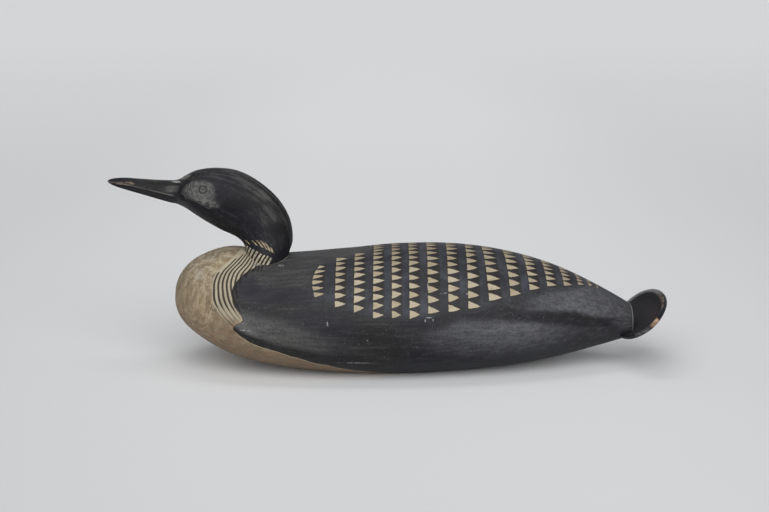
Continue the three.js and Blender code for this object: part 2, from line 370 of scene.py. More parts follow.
head_mesh = painted_head.data
bill_arris = bell(head_side_at, 90, 14) * ease(head_place_at, 9.6, 11.0)
jaw_arris = bell(jaw_at, 0, 0.8) * jaw_there
# Painted highlights, lighter paint where light from above falls: a band along the side of the crown and down
# the hind neck, and the top of the head
crown_highlight = bell(head_side_at, 36, 11) * band(head_place_at, 1.5, 2.6, 6.4, 7.8)
top_highlight = 1.6 * bell(head_side_at, 0, 22) * ease(head_place_at, 2.0, 4.5)

# Each value, with the one at the foot's pole and the one at the tip of the bill
head_values = {
    "cut": (head_cut, 0, 0),
    "ridge": (bar_ridge, 0, 0),
    "stroke": (stroke_light, 0, 0),
    "place": (head_place_at, head_places[0], 15),
    "arris": (np.maximum(bill_arris, 0.8 * jaw_arris), 0, 0),
    "sheen_and_wear": (crown_highlight + top_highlight, 0, 0),
    "cheek": (cheek_at, nowhere, nowhere),
    "from_eye": (from_eye, far_off, far_off),
    "grain": (head_grain, [0, 0, 0], [along_head.max() * millimetre, 0, 0]),
    "round_eye": (round_eye, [0, 0, 0], [0, 0, 0]),
}
for name, (grid, at_foot, at_tip) in head_values.items():
    add_values(head_mesh, name, with_poles(grid, at_foot, at_tip))


class Signal:
    """A socket of a material's nodes. Sums and products with it add Math nodes to the same material."""

    def __init__(self, tree, socket=None):
        self.tree = tree
        self.socket = socket

    def node(self, kind, inputs=(), output=0, **settings):
        """Adds a node: first its settings, then its sockets' values or links, given by name or number."""
        made = self.tree.nodes.new("ShaderNode" + kind)
        for name, value in settings.items():
            setattr(made, name, value)
        for name, value in dict(inputs).items():
            if isinstance(value, Signal):
                self.tree.links.new(value.socket, made.inputs[name])
            else:
                made.inputs[name].default_value = value
        return Signal(self.tree, made.outputs[output])

    def math(self, operation, *others):
        return self.node("Math", enumerate([self, *others]), operation=operation)

    def __add__(self, other):
        return self.math("ADD", other)

    __radd__ = __add__

    def __mul__(self, other):
        return self.math("MULTIPLY", other)

    __rmul__ = __mul__

    def __sub__(self, other):
        return self.math("SUBTRACT", other)

    def __rsub__(self, other):
        return (self * -1.0) + other

    def __truediv__(self, other):
        return self.math("DIVIDE", other)

    def __pow__(self, other):
        return self.math("POWER", other)

    def rise(self, low, high):
        """Rises smoothly from 0 at low to 1 at high. Falls where high is below low."""
        if low > high:
            return 1.0 - self.rise(high, low)
        ends = {0: self, 1: low, 2: high, 3: 0.0, 4: 1.0}
        return self.node("MapRange", ends, interpolation_type="SMOOTHSTEP")

    def along(self, axis):
        """One of this vector's three numbers."""
        return self.node("SeparateXYZ", {0: self}, output=axis)

    def band(self, low, low_full, high_full, high):
        """1 between the two full marks, easing to 0 at the outer two."""
        return self.rise(low, low_full) * self.rise(high, high_full)

    def stretched(self, x, y, z):
        """This vector, scaled along its axes."""
        return self.node("VectorMath", {0: self, 1: (x, y, z)}, operation="MULTIPLY")

    def noise(self, scale, detail=3.0, roughness=0.55):
        """Cloudy noise over this vector, about 0.3 to 0.7."""
        inputs = {"Vector": self, "Scale": scale, "Detail": detail, "Roughness": roughness}
        return self.node("TexNoise", inputs)

    def over(self, colour, under):
        """A colour laid over another as much as this mask says."""
        colours = [c if isinstance(c, Signal) else (*c, 1.0) for c in (under, colour)]
        return self.node("Mix", {0: self, 6: colours[0], 7: colours[1]}, output=2, data_type="RGBA")

    def value(self, name):
        """A number that the mesh carries at its points."""
        return self.node("Attribute", output=2, attribute_name=name)

    def vector(self, name):
        """A vector that the mesh carries at its points."""
        return self.node("Attribute", output=1, attribute_name=name)

    def spot(self, middle, reach):
        """1 inside an ellipsoid given by its middle and reach in millimetres, falling to 0 at its edge."""
        off = self.node("VectorMath", {0: self, 1: [millimetre * c for c in middle]}, operation="SUBTRACT")
        off = off.stretched(*(1 / (millimetre * size) for size in reach))
        return off.node("VectorMath", {0: off}, output=1, operation="LENGTH").rise(1.0, 0.5)


def new_paint(name, gloss):
    """A material with plain gloss, the signal to start its colours from, and its shader."""
    material = bpy.data.materials.new(name)
    material.use_nodes = True
    start = Signal(material.node_tree)
    shader = material.node_tree.nodes["Principled BSDF"]
    shader.inputs["Specular IOR Level"].default_value = gloss
    return material, start, shader


def finish_paint(start, shader, colour, roughness, height, distance):
    """Feeds the shader colour, roughness and a bump, whose height is a signal times a distance in metres."""
    tree = start.tree
    bump = start.node("Bump", {"Strength": 1.0, "Distance": distance, "Height": height})
    tree.links.new(colour.socket, shader.inputs["Base Color"])
    tree.links.new(roughness.socket, shader.inputs["Roughness"])
    tree.links.new(bump.socket, shader.inputs["Normal"])


cream_paint = (0.42, 0.34, 0.22)
ridge_paint = (0.38, 0.34, 0.255)
bare_wood = (0.33, 0.24, 0.15)
deepest_black = (0.008, 0.007, 0.006)
# Grey of rubbed paint, also used for painted highlights and lit facets on the head
rubbed_and_lit_grey = (0.15, 0.148, 0.14)


def coats(under, *layers):
    """Coats laid one after another over a colour, each given by how much of it there is and its colour."""
    for amount, colour in layers:
        under = amount.over(colour, under)
    return under


def black_paint(grain, place, streakiness):
    """Old black paint, and the streaks that its brush left along the grain.

    Bluish and greenish clouds come first, then pale streaks, shown more with more streakiness, and then
    grey mottle, pits and specks.
    """
    clouds = place.noise(9.0, 2.0).rise(0.38, 0.62)
    streaks = grain.stretched(22.0, 220.0, 220.0).noise(1.0, 4.0, 0.65)
    mottle = place.noise(120.0, 4.0, 0.7).rise(0.45, 0.75)
    pits = place.noise(300.0, 2.0).rise(0.58, 0.70)
    specks = place.noise(520.0, 1.0).rise(0.69, 0.75)
    colour = coats(
        clouds.over((0.0085, 0.0085, 0.0125), (0.0085, 0.0085, 0.008)),
        (streaks.rise(0.47, 0.72) * streakiness, (0.034, 0.034, 0.035)),
        (mottle * 0.4, (0.030, 0.030, 0.034)),
        (pits * 0.6, (0.006, 0.006, 0.006)),
        (specks * 0.7, (0.10, 0.10, 0.10)),
    )
    return colour, streaks


head_paint, paint, head_shader = new_paint("head_paint_with_wear_and_painted_light", 0.12)
place = paint.node("TexCoord", output="Object")
black_head, head_streaks = black_paint(paint.vector("grain"), place, 0.45)
streak_amount = 0.05 + head_streaks.rise(0.40, 0.62) * 0.95

# Rubbed places and painted highlights on the left side: middle, reach and how much lighter the paint is made
head_rubs_and_highlights = [
    # Hind neck: rubbed paint with a painted highlight
    ((-172, -15, 216), (20, 16, 9), 0.20),
    ((-166, -21, 192), (14, 14, 20), 0.16),
    # Below the eye: rubbed paint
    ((-239, -26, 219), (15, 12, 7), 0.22),
    # Bill root and forehead: painted light on facets that face the light
    ((-293, -9, 222), (12, 8, 5), 0.22),
    ((-262, -13, 238), (9, 8, 3.5), 0.12),
    ((-249, -11, 244), (12, 8, 3), 0.14),
]
rubs_and_highlights = [
    (place.spot(middle, reach) * streak_amount * amount, rubbed_and_lit_grey)
    for middle, reach, amount in head_rubs_and_highlights
]

along_rows = paint.value("place")
eye_strokes = paint.vector("round_eye").noise(1.0, 3.0, 0.6)
cheek_depth = paint.value("cheek")
cheek = cheek_depth.rise(-1.2, 5.0) * along_rows.rise(5.7, 7.0)
cheek_strokes = eye_strokes.rise(0.45, 0.58) * 0.45 + place.noise(190.0, 4.0, 0.7).rise(0.42, 0.62) * 0.3
cheek = cheek * (0.05 + along_rows.rise(9.0, 7.0) * 0.22 + cheek_strokes * 0.75)
cheek_scrape = place.spot((-243, -24, 205), (22, 14, 10)) * cheek_depth.rise(-0.5, 4.0) * cheek_strokes
# A painted highlight on top of the bill's root, broken by noise
root_highlight = place.spot((-280, -4, 231.6), (9, 8, 1.5)) * place.noise(330.0, 3.0).rise(0.36, 0.5)
# Painted light on the forehead and on the bill's upper facet near its root, which face the light
lit_forehead = place.spot((-271, -7, 239), (13, 10, 6)) + place.spot((-285, -10, 224), (13, 8, 6)) * 0.4
lit_forehead = lit_forehead * (0.2 + head_streaks.rise(0.35, 0.6) * 0.5)
# Painted shade on the side of the head behind and below the eye, and on the side of the neck
side_shade = place.spot((-206, -24, 205), (28, 18, 12)) + place.spot((-157, -24, 176), (20, 18, 12))
arris = paint.value("arris")
arris_wear = arris.rise(0.35, 0.95) * place.noise(90.0, 3.0).rise(0.25, 0.5)
tip_wear = arris.rise(0.05, 0.5) * along_rows.band(12.4, 13.2, 14.6, 14.85)
tip_wear = tip_wear * 0.35 + place.spot((-344, -4.5, 229.4), (15, 7, 2.6)) * 0.7
tip_wear = tip_wear * place.stretched(90.0, 300.0, 300.0).noise(1.0, 3.0).rise(0.36, 0.6)
eye_distance = paint.value("from_eye")
eye_groove = eye_distance.band(eye_ring - 1.2, eye_ring - 0.7, eye_ring + 0.6, eye_ring + 1.1)
eye_dark = eye_groove * 0.62 + eye_distance.rise(pupil + 0.4, pupil - 0.2) * 0.5
ridge_wear = 0.5 + place.noise(220.0, 3.0).rise(0.38, 0.58) * 0.5
# Among these coats is painted light: the sheen on the crown and top, the highlights among the rubs, the lit
# forehead and bill root, and the shaded side of the head
head_colour = coats(
    black_head,
    (paint.value("sheen_and_wear") * streak_amount * 0.22, rubbed_and_lit_grey),
    *rubs_and_highlights,
    (cheek, rubbed_and_lit_grey),
    (cheek_scrape * 0.8, (0.22, 0.215, 0.20)),
    (root_highlight * 0.7, (0.3, 0.3, 0.29)),
    (lit_forehead, rubbed_and_lit_grey),
    (side_shade * 0.7, (0.005, 0.005, 0.006)),
    (arris_wear * 0.6, (0.17, 0.16, 0.145)),
    (tip_wear, (0.27, 0.215, 0.155)),
    (eye_dark, deepest_black),
    (paint.value("ridge") * ridge_wear, ridge_paint),
    (paint.value("stroke") * ridge_wear, cream_paint),
    (paint.value("cut").rise(0.25, 0.7) * 0.9, deepest_black),
)
head_rough = 0.40 + cheek * 0.2 + head_streaks * 0.12
finish_paint(paint, head_shader, head_colour, head_rough, head_streaks + cheek * 0.3, 0.0002)
head_mesh.materials.append(head_paint)
head_mesh.shade_smooth()
head_mesh.set_sharp_from_angle(angle=math.radians(40))
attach(painted_head, "root")
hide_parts("head_and_neck")

# Body and tail One block of softwood, carved to a round body that is planed flat under its keel and
# steps down to a dished tail.
body_length = 572.0
body_width = 216.0
body_height = 158.0
keel_flat = 6.0
neck_gap = 0.35
tail_reach = 77.0
tail_width = 145.0
tail_slope = math.radians(41.5)
tail_overlap = 18.5
tail_rise = 4.5
tail_edge = 5.0
tail_hollow = 6.0
tail_dish = 3.0
tail_bulge = 14.0

# Along, back, keel, width, widest height, fullness above and below it
body_lines = np.array([
    [0, 0.6, 0.6, 0, 0.58, 1, 1],
    [0.014, 0.778, 0.42, 0.37, 0.57, 1, 1],
    [0.056, 0.908, 0.278, 0.64, 0.55, 1, 1],
    [0.14, 0.977, 0.125, 0.855, 0.51, 1.08, 0.94],
    [0.206, 0.92, 0.072, 0.935, 0.49, 1.15, 0.9],
    [0.265, 0.928, 0.04, 0.975, 0.475, 1.1, 0.88],
    [0.38, 0.957, 0.006, 1, 0.456, 1, 0.85],
    [0.5, 0.997, 0, 0.986, 0.449, 1, 0.85],
    [0.62, 0.995, 0.016, 0.916, 0.449, 1, 0.88],
    [0.73, 0.937, 0.046, 0.796, 0.449, 1, 0.93],
    [0.82, 0.845, 0.09, 0.638, 0.443, 1, 1],
    [0.91, 0.7, 0.168, 0.43, 0.43, 1, 1],
    [1, 0.516, 0.26, 0.23, 0.39, 1, 1],
])
rooted_lines = np.column_stack([np.sqrt(body_lines[:, 0]), body_lines[:, 1:]])
breast_x = -body_length / 2
step_x = body_length / 2


def body_values(x):
    """Back, keel, width, widest height and the two fullnesses at x, smooth over the root of the way along."""
    root = np.sqrt(np.clip(np.asarray(x) / body_length + 0.5, 0, 1))
    return np.moveaxis(smooth(rooted_lines, root), -1, 0)


def body_point(x, turn):
    """Points of the round body at x and a turn in degrees from the top of the back to the bird's left.

    The distance across is the half width times sin(turn) to the power of the fullness, and the height is
    the widest line's plus the reach to the back or keel line times cos(turn) to that power.
    """
    x, turn = np.broadcast_arrays(x, np.radians(turn))
    back, keel, width, widest, above, below = body_values(x)
    is_upper = np.cos(turn) > 0
    fullness = np.where(is_upper, above, below)
    reach = np.where(is_upper, back - widest, widest - keel)
    across = width * body_width / 2 * signed_power(np.sin(turn), fullness)
    height = (widest + reach * signed_power(np.cos(turn), fullness)) * body_height - keel_flat
    return np.stack([x, -across, height], -1)


# Neck lines: turn from the top of the back, x of the fourth line, distance from one line to the next
neck_lines = np.array([
    [0, -194, 2.6], [14, -195.2, 3], [28, -201.2, 3.9], [43, -212, 4.7], [55, -214.5, 5.2],
    [62, -213, 5.6], [66, -211.8, 6], [70, -209.8, 6.4], [75, -206, 6.9], [80, -201, 7.2],
    [85, -195.3, 7.3], [92, -186, 7.3], [98, -175, 7.6], [120, -160, 8],
    [180, -150, 8],
])
middle_line = 4.0
line_starts = np.array([41.0, 23, 15, 0, 0, 0, 0, 0, 0, 0, 0])
line_ends = np.array([97, 91.5, 89, 86, 79, 66, 52, 43, 36, 33, 31])
line_depth = 0.8


def line_x(number, turn):
    """Where a neck line of some number lies along the body at a turn in degrees."""
    fourth, pitch = np.moveaxis(smooth(neck_lines, np.abs(turn)), -1, 0)
    return fourth + (number - middle_line) * pitch


def line_number(x, turn):
    """Which neck line, or share of the way between two, passes a place."""
    fourth, pitch = np.moveaxis(smooth(neck_lines, np.abs(turn)), -1, 0)
    return middle_line + (x - fourth) / pitch


def neck_cut(number, turn):
    """How deep the neck lines are cut, 0 to 1: a bell on each whole number, shallower down the side."""
    tie_break = 1e-6  # a row half-way between two lines goes with the later one in every run
    nearest = np.clip(np.round(number + tie_break), 1, len(line_starts)).astype(int) - 1
    start, end = line_starts[nearest], line_ends[nearest]
    side = np.abs(turn)
    fade = np.where(start == 0, 1, ease(side, start - 3, start + 3)) * (1 - ease(side, end - 3, end + 2))
    return bell(number, nearest + 1, 0.26) * fade * (1 - 0.48 * ease(side, 70, 80))


points_round = 224
rows_ahead = 45  # rows of the grid ahead of the neck lines, and behind them
rows_behind = 135
body_turns = np.linspace(-180, 180, points_round, endpoint=False)
first_line, last_line, steps_per_line = -0.5, 11.5, 8
front_share = np.linspace(0, 1, rows_ahead + 2)[1:-1, None] ** 2
front_rows = breast_x + (line_x(first_line, body_turns) - breast_x) * front_share
line_rows = line_x(np.arange(first_line, last_line, 1 / steps_per_line)[:, None], body_turns[None, :])
back_share = np.linspace(0, 1, rows_behind)[:, None]
back_rows = line_x(last_line, body_turns) + (step_x - line_x(last_line, body_turns)) * back_share
body_xs = np.vstack([front_rows, line_rows, back_rows])
body_grid = body_point(body_xs, body_turns[None, :])
body_cut = line_depth * neck_cut(line_number(body_xs, body_turns), body_turns)
body_waves = hand_waves(body_grid, depth=0.45, length=60, seed=5) * ease(body_xs, breast_x, breast_x + 30)
body_grid = body_grid - outward(body_grid) * (body_cut + body_waves)[..., None]
body_grid[..., 2] = np.maximum(body_grid[..., 2], 0)
breast_point = np.array([breast_x, 0, body_lines[0, 1] * body_height - keel_flat])
body_block = ring_skin("painted_body", body_grid, breast_point, body_grid[-1].mean(0))

# The tail's skin from the middle of its hollow over the lip to the middle of its back: inset and depth
rounding = tail_edge / 3
lip_foot = 13.0  # the edge of the hollow is worn soft, so its foot lies far in
lip_profile = smooth(
    np.array([
        [0.0, lip_foot, tail_hollow],
        [1.0, 8.0, 2.8],
        [2.0, 4.0, 0.6],
        [3.0, rounding / 2, rounding / 3],
        [4.0, 0.0, rounding],
        [5.0, 0.0, tail_edge],
    ]),
    np.linspace(0, 5, 26),
)
lip_profile = np.maximum(lip_profile, 0)
tail_points_round = 180
tail_turns = np.radians(np.linspace(0, 360, tail_points_round, endpoint=False))
tail_start = np.array([step_x - tail_overlap, 0, body_lines[-1, 2] * body_height - keel_flat + tail_rise])
slope_way = np.array([math.cos(tail_slope), 0, math.sin(tail_slope)])
depth_way = np.array([math.sin(tail_slope), 0, -math.cos(tail_slope)])
across_way = np.array([0, 1, 0])


def tail_point(along, across, depth):
    """A point of the tail from its distances up the slope from the middle, across, and behind the rim."""
    spread = (tail_reach / 2 + along)[..., None] * slope_way + across[..., None] * across_way
    return tail_start + spread + depth[..., None] * depth_way


def tail_rings(share, inset, depth):
    """Oval rings: the rim's oval drawn in by an inset, times a share, at a depth behind the rim."""
    along = -share * (tail_reach / 2 - inset)
    across = share * (tail_width / 2 - inset)
    rings = along[:, None] * np.cos(tail_turns), across[:, None] * np.sin(tail_turns)
    return tail_point(*rings, depth[:, None] + 0 * tail_turns)


innermost = 0.08  # share of the oval at the ring round the middle
rings_across = 18
hollow_share = np.linspace(innermost, 1, rings_across)[:-1]
hollow_depth = tail_hollow + tail_dish * (1 - hollow_share**2)
back_shares = np.linspace(1, innermost, rings_across)[1:]
back_depth = tail_edge + tail_bulge * (1 - back_shares**2)
tail_grid = np.vstack([
    tail_rings(hollow_share, lip_foot, hollow_depth),
    tail_rings(np.ones(len(lip_profile)), lip_profile[:, 0], lip_profile[:, 1]),
    tail_rings(back_shares, 0.0, back_depth),
])
tail_waves = hand_waves(tail_grid, depth=0.3, length=24, seed=9)
tail_grid = tail_grid - outward(tail_grid) * tail_waves[..., None]
zero = np.zeros(1)
hollow_middle = tail_point(zero, zero, np.array([tail_hollow + tail_dish]))
back_middle = tail_point(zero, zero, np.array([tail_edge + tail_bulge]))
tail_disc = ring_skin("tail_disc", tail_grid, hollow_middle, back_middle)

pocket_rows = 40
pocket_grid = head_point(np.linspace(-1, 4, pocket_rows)[:, None], head_turns[None, ::2], neck_gap)
pocket_grid[0, :, 2] -= neck_gap
pocket = ring_skin("pocket", pocket_grid, pocket_grid[0].mean(0), pocket_grid[-1].mean(0))


def carve(block, tool, operation):
    """Joins a closed tool shape to a block or cuts it away, and deletes the tool."""
    change = block.modifiers.new(tool.name, "BOOLEAN")
    change.solver = "MANIFOLD"
    change.operation = operation
    change.object = tool
    evaluated = block.evaluated_get(bpy.context.evaluated_depsgraph_get())
    carved = bpy.data.meshes.new_from_object(evaluated)
    block.modifiers.clear()
    block.data = carved
    bpy.data.objects.remove(tool)


carve(body_block, tail_disc, "UNION")
carve(body_block, pocket, "DIFFERENCE")
body_mesh = body_block.data
body_points = np.empty(len(body_mesh.vertices) * 3)
body_mesh.vertices.foreach_get("co", body_points)
body_points = body_points.reshape(-1, 3) / millimetre


def body_turn(points):
    """The turn in degrees of points on the round body, and how far off it they are as a share of its size."""
    back, keel, width, widest, above, below = body_values(points[:, 0])
    rise = (points[:, 2] + keel_flat) / body_height - widest
    is_upper = rise > 0
    fullness = np.where(is_upper, above, below)
    reach = np.maximum(np.where(is_upper, back - widest, widest - keel), 1e-6)
    across = np.abs(points[:, 1]) / np.maximum(width * body_width / 2, 1e-6)
    across = across ** (1 / fullness)
    rise = signed_power(rise / reach, 1 / fullness)
    return np.degrees(np.arctan2(across, rise)), np.hypot(across, rise) - 1


turn_at, off_body = body_turn(body_points)
x_at, y_at, z_at = body_points.T
on_body = (np.abs(off_body) < 0.03) & (x_at < step_x - 0.5)


def girth(x, turn, steps=36):
    """Distance over the body's skin from the top of the back, summed over small steps of the turn."""
    turns = np.linspace(0, 1, steps)[:, None] * turn
    return np.linalg.norm(np.diff(body_point(x[None, :], turns), axis=0), axis=-1).sum(0)


girth_at = girth(x_at, turn_at)

# The checks: front edge of each column, how far down the side it reaches, where it starts, how many
column_edges = [-112, -84, -61.5, -38.5, -16, 5, 27, 51.5, 75.5, 98, 125, 150, 173.5, 196, 216.5, 232, 243]
column_low = np.array([101, 117, 125, 134, 135, 135, 129, 125, 118, 103, 90, 73, 58, 45, 30, 20])
column_top = np.array([44, 29, 19, 0, 0, 0, 0, 0, 0, 0, 0, 0, 0, 0, 0, 0])
checks_in_column = np.array([6, 8, 9, 12, 11, 11, 10, 10, 9, 8, 7, 7, 6, 5, 4, 2])
column_lean = np.array([[-120.0, 0], [80, 0], [100, 0.05], [150, 0.055], [240, 0.07]])
column_count = len(column_low)
far = 600.0  # well past both ends of the body
nose_bow = 9.0  # how far the front edge of the first column bows back at its ends
nose_middle = 78.0
nose_half = 34.0
nose_tips = -97.0  # the tips of the first column stand on a straight line

lean = np.interp(x_at, column_lean[:, 0], column_lean[:, 1]) * (girth_at - 50)
column_steps = np.diff(column_edges)
steps_ahead = (far + column_edges[0]) / column_steps[0]
steps_behind = (far - column_edges[-1]) / column_steps[-1]
edge_numbers = [-steps_ahead, *range(column_count + 1), column_count + steps_behind]
column_at = np.interp(x_at - lean, [-far, *column_edges, far], edge_numbers)
nose_edge = column_edges[0] + nose_bow * np.clip(np.abs(girth_at - nose_middle) / nose_half, 0, 1) ** 2
nose_share = 0.6  # how much of the first column its checks fill
nose_at = np.where(
    x_at < nose_tips,
    nose_share * (x_at - nose_edge) / (nose_tips - nose_edge),
    nose_share + (1 - nose_share) * (x_at - nose_tips) / (column_edges[1] - nose_tips),
)
column_at = np.where(x_at < column_edges[1], nose_at, column_at)
change_early = 0.12  # a column's sizes begin in the gap before it
off_checks = -9.0  # millimetres, a depth that keeps the checks away
column = np.clip(np.floor(column_at + change_early).astype(int), 0, column_count - 1)
check_height = (column_low[column] - column_top[column]) / checks_in_column[column]

# Rows of checks fall much less than the back does
levelling = 0.85  # at 1 they would run level
back_at = body_values(x_at)[0] * body_height
back_ahead = body_values(x_at + 1)[0] * body_height
fall_at = np.clip(back_at - back_ahead, 0, 0.6) * (x_at < step_x - 2)
edge_at = np.array(column_edges)[column]
row_girth = girth_at + levelling * fall_at * (x_at - lean - edge_at)
row_at = (column_low[column] - row_girth) / check_height
patch_at = np.minimum(row_girth - column_top[column] + 0.1, column_low[column] - row_girth)
is_column = (column_at > -0.2) & (column_at < column_count + 0.3)
patch_at = np.where(on_body & is_column, patch_at, off_checks)

# The darker ground of the checks ends on a smooth line round all the columns
ground_column = column_at - 0.4  # the line goes through a point a little behind each column's front edge
ground_below = 2
ground_above = 3
ground_low = np.interp(ground_column, np.arange(column_count), column_low, right=10) + ground_below
ground_top = np.interp(ground_column, np.arange(column_count), column_top) - ground_above
ground_top = np.where(ground_top < 4, nowhere, ground_top)
column_width = 20.0
ground_front = (column_at + 0.15) * column_width
ground_at = np.minimum.reduce([girth_at - ground_top, ground_low - girth_at, ground_front])
ground_at = np.where(on_body, ground_at, off_checks)

# Cream: ahead of the neck lines, and under a line that sweeps back along the side to the keel
cream_line = np.array([
    [-231.1, 77.4], [-223.2, 86.5], [-214.3, 93], [-208.2, 96.2], [-201.7, 99.8], [-194.1, 104.4],
    [-182.8, 109.6], [-171.3, 111.9], [-156, 113.8], [-140.8, 117.7], [-125.5, 120.7], [-110.4, 125.6],
    [-91.2, 128.1], [-82.4, 131.5], [-65.2, 136.3], [-54.1, 138.5], [-24.9, 145.6], [20, 158],
    [90, 180],
])
degrees_to_mm = 1.6
under_at = (turn_at - np.interp(x_at, *cream_line.T)) * degrees_to_mm
last_light = np.interp(
    turn_at,
    [0, 25, 35, 44, 53, 61, 66, 69, 72, 76, 81, 85, 89, 92, 94, 96, 98, 102, 106],
    [11.5, 9.6, 8, 7, 5.8, 5, 4.8, 4.6, 4.5, 4.6, 4.65, 4.2, 3, 1.7, 0.9, 0.3, 0, -0.3, -0.6],
)
number_at = line_number(x_at, turn_at)
pitch_at = line_x(1.0, turn_at) - line_x(0.0, turn_at)
ahead_at = (last_light - number_at) * pitch_at
cream_at = np.where(on_body, np.maximum(under_at, ahead_at), nowhere)
cut_at = np.where(on_body, neck_cut(number_at, turn_at), 0.0)
necklace_at = ease(number_at, 0.3, 0.9) * (1 - ease(turn_at, 82, 92)) * on_body
neck_middle_x = head_rows[0, [0, 2]].mean()
neck_half_length = (head_rows[0, 0] - head_rows[0, 2]) / 2
neck_half_width = head_rows[0, 4]
from_neck = np.hypot((x_at - neck_middle_x) / neck_half_length, y_at / neck_half_width) - 1
seam_at = np.where(z_at > 100, from_neck * neck_half_width, far_off)

# Lighter places, of rubbed paint with a painted sheen laid in. Each runs from one turn to another, given at
# some x, and its strength changes along it
shoulder_top = np.interp(x_at, [-205, -181, -155, -125, -89, -40], [69, 70, 72, 79, 86, 91])
shoulder_low = np.interp(x_at, [-205, -197, -176, -153, -130, -100, -40], [94, 98, 103, 106.5, 109, 112, 112])
shoulder_sheen_and_wear = np.interp(
    x_at, [-214, -204, -180, -160, -120, -100, -80, -40, 0], [0, 0.54, 0.42, 0.34, 0.25, 0.2, 0.1, 0.04, 0],
)
shoulder_sheen_and_wear = shoulder_sheen_and_wear * band(
    turn_at, shoulder_top, shoulder_top + 16, shoulder_low - 5, shoulder_low + 2
)
side_top = np.interp(x_at, [40, 66, 89, 139, 190, 242], [84, 78, 79.5, 81, 87, 95])
side_low = np.interp(x_at, [20, 67, 138, 187, 246], [112, 124, 136, 141, 160])
side_sheen_and_wear = np.interp(
    x_at,
    [-10, 20, 40, 60, 80, 100, 130, 160, 185, 215],
    [0, 0.08, 0.16, 0.25, 0.32, 0.37, 0.38, 0.34, 0.22, 0.07],
)
side_sheen_and_wear = side_sheen_and_wear * band(turn_at, side_top - 2, side_top + 6, side_top + 8, side_low)
hip_low = np.interp(x_at, [140, 152, 208, 233, 273], [74, 73.7, 72.3, 79.2, 77.1])
hip_sheen_and_wear = np.interp(x_at, [130, 155, 180, 200, 220, 240, 280], [0, 0.23, 0.37, 0.43, 0.4, 0.34, 0.25])
hip_top = np.interp(x_at, [150, 200, 235, 273], [50, 38, 8, 0])
hip_sheen_and_wear = hip_sheen_and_wear * band(turn_at, hip_top, hip_top + 16, hip_low - 5, hip_low + 4)
# Painted light on the body's end next to the step, where the tail shades it
step_light = 0.3 * ease(x_at, 250, 280) * bell(turn_at, 88, 36)
# A painted sheen on the top of the back, lightest along its top
top_sheen = np.interp(turn_at, [0, 35, 60, 72], [0.27, 0.22, 0.11, 0])
sheen_and_wear_at = np.maximum.reduce([shoulder_sheen_and_wear, side_sheen_and_wear, hip_sheen_and_wear, step_light, top_sheen]) * on_body
# A painted line of shade along the rear of the side, between the lighter side and hip
shade_line_turns = np.interp(x_at, [164, 218, 271], [74.6, 79.7, 83.1])
shade_line_at = bell((turn_at - shade_line_turns) * 1.3, 0, 2.0) * ease(x_at, 150, 175) * on_body

# The tail's own measures: how far in from its rim a point of its dish lies, and how near the body's step
from_tail = body_points - tail_start
slope_at = from_tail @ slope_way - tail_reach / 2
depth_at = from_tail @ depth_way
oval_at = np.hypot(slope_at / (tail_reach / 2), y_at / (tail_width / 2))
on_end = (np.abs(off_body) < 0.05) | ((np.abs(x_at - step_x) < 0.3) & (off_body < 0))
on_tail = ~on_body & ~(on_end & (x_at < step_x + 0.3)) & (x_at > step_x - 2 * tail_overlap)
between_skins = (tail_hollow + tail_edge) / 2 + (tail_dish + tail_bulge) / 2 * (1 - oval_at**2)
is_dish = on_tail & (depth_at < between_skins)
inset_at = np.maximum(1 / np.maximum(oval_at, 0.02) - 1, 0) * np.hypot(slope_at, y_at)
inset_at = np.where(oval_at < 0.04, 30.0, inset_at)
dish_at = np.where(is_dish, inset_at, -3.0)
is_step = (z_at > 30) & (np.abs(off_body) < 0.06)
step_at = np.where(is_step, np.abs(x_at - step_x), far_off)

body_layers = {
    "cream": cream_at, "cut": cut_at, "necklace": necklace_at, "patch": patch_at, "ground": ground_at,
    "seam": seam_at, "sheen_and_wear": sheen_and_wear_at, "shade_line": shade_line_at, "dish": dish_at, "step": step_at,
}
for name, values in body_layers.items():
    add_values(body_mesh, name, values)
corner_points = np.empty(len(body_mesh.loops), int)
body_mesh.loops.foreach_get("vertex_index", corner_points)
check_map = np.column_stack([column_at, row_at])[corner_points]
body_mesh.uv_layers.new(name="checks").data.foreach_set("uv", check_map.astype(np.float32).ravel())

body_paint, paint, body_shader = new_paint("body_paint_with_wear_and_painted_light", 0.2)
place = paint.node("TexCoord", output="Object")
x_of, y_of, z_of = (place.along(axis) for axis in range(3))
black_body, body_streaks = black_paint(place, place, 0.6)
grainy = place.noise(380.0, 2.0, 0.7).rise(0.35, 0.65)
# Rubbed paint and painted sheen, grey and streaked
sheen_and_wear = paint.value("sheen_and_wear") * (0.45 + body_streaks.rise(0.35, 0.65) * 0.4 + grainy * 0.35)
sheen_and_wear_tone = x_of.rise(-0.03, 0.04).over((0.185, 0.187, 0.20), (0.185, 0.185, 0.178))

# One check: its base stands on the column's front edge, and its sides bulge to a tip that points aft
wobble = place.noise(260.0, 2.0) - 0.5
check_place = paint.node("UVMap", uv_map="checks")
column_of = check_place.along(0) + wobble * 0.07
row_of = check_place.along(1) + wobble * 0.14
column_start = column_of.math("FLOOR")
along_check = column_of - column_start
row_start = row_of.math("FLOOR")
side = y_of.rise(-0.001, 0.001)
check_id = paint.node("CombineXYZ", {0: column_start, 1: row_start, 2: side * 7.0})
chance = paint.node("TexWhiteNoise", {"Vector": check_id}, output=0, noise_dimensions="3D")
chance_two = paint.node("TexWhiteNoise", {"Vector": check_id, "W": 4.0}, output=0, noise_dimensions="4D")
check_way = along_check / (0.56 + chance * 0.10)
half_height = (0.43 - chance_two * 0.08) * (1.0 - check_way ** 1.6)
off_middle = (row_of - row_start - 0.5 + (chance_two - 0.5) * check_way * 0.2).math("ABSOLUTE")
inside = paint.value("patch").rise(-0.2, 0.2)
check = (half_height - off_middle).rise(-0.02, 0.04) * inside * along_check.rise(0.03, 0.06)
